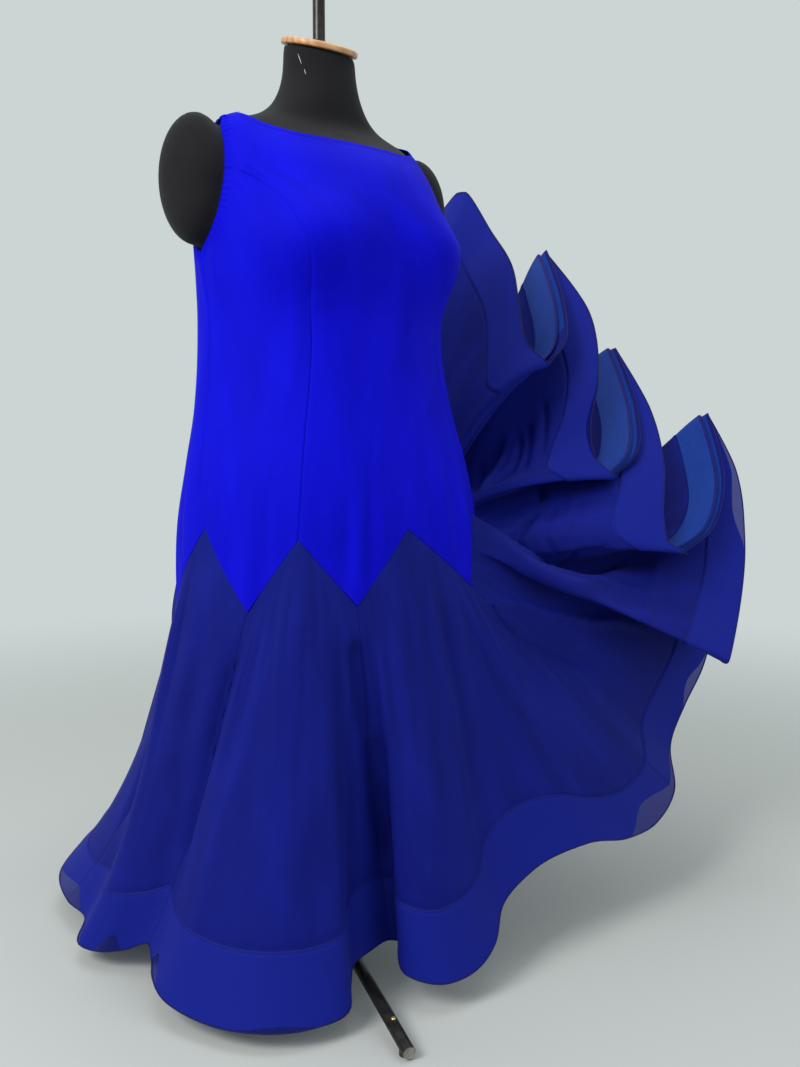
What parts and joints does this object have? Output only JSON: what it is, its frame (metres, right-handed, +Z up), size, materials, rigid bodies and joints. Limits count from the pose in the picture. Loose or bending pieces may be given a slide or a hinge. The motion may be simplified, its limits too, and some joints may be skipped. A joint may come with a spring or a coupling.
{
  "type": "long dress on a dress form",
  "caption": "Sleeveless ballroom gown with a drop-hip flared skirt lifted at one side, worn by a limbless dress form on a pole with a low tripod stand.",
  "frame": {"origin": "on the floor, under the middle of the whole object's bounding box", "axes": "+Z up, -Y the way the dress form faces, +X the wearer's left, where the skirt is lifted"},
  "size_m": [1.225, 1.0492, 1.6],
  "materials": {
    "bodice": "smooth stretch crepe, bright ultramarine",
    "skirt": "chiffon over crepe, darker ultramarine",
    "hem_facing": "ribbed stiffening braid, azure",
    "jersey": "matte black jersey",
    "wood": "light varnish",
    "dark_metal": "dark semi-gloss"
  },
  "bodies": {
    "root": {"bodice_front": "bodice", "bodice_back": "bodice", "bodice_side_front_left": "bodice", "bodice_side_front_right": "bodice", "bodice_side_back_left": "bodice", "bodice_side_back_right": "bodice", "gore_front": "skirt", "gore_princess_left": "skirt", "gore_side_left": "skirt", "gore_back_left": "skirt", "gore_back": "skirt", "gore_back_right": "skirt", "gore_side_right": "skirt", "gore_princess_right": "skirt", "hem_band": "hem_facing", "form_torso": "jersey", "neck_cap": "wood", "pole_upper": "dark_metal", "pole_lower": "dark_metal", "stand": "dark_metal"}
  },
  "joints": []
}
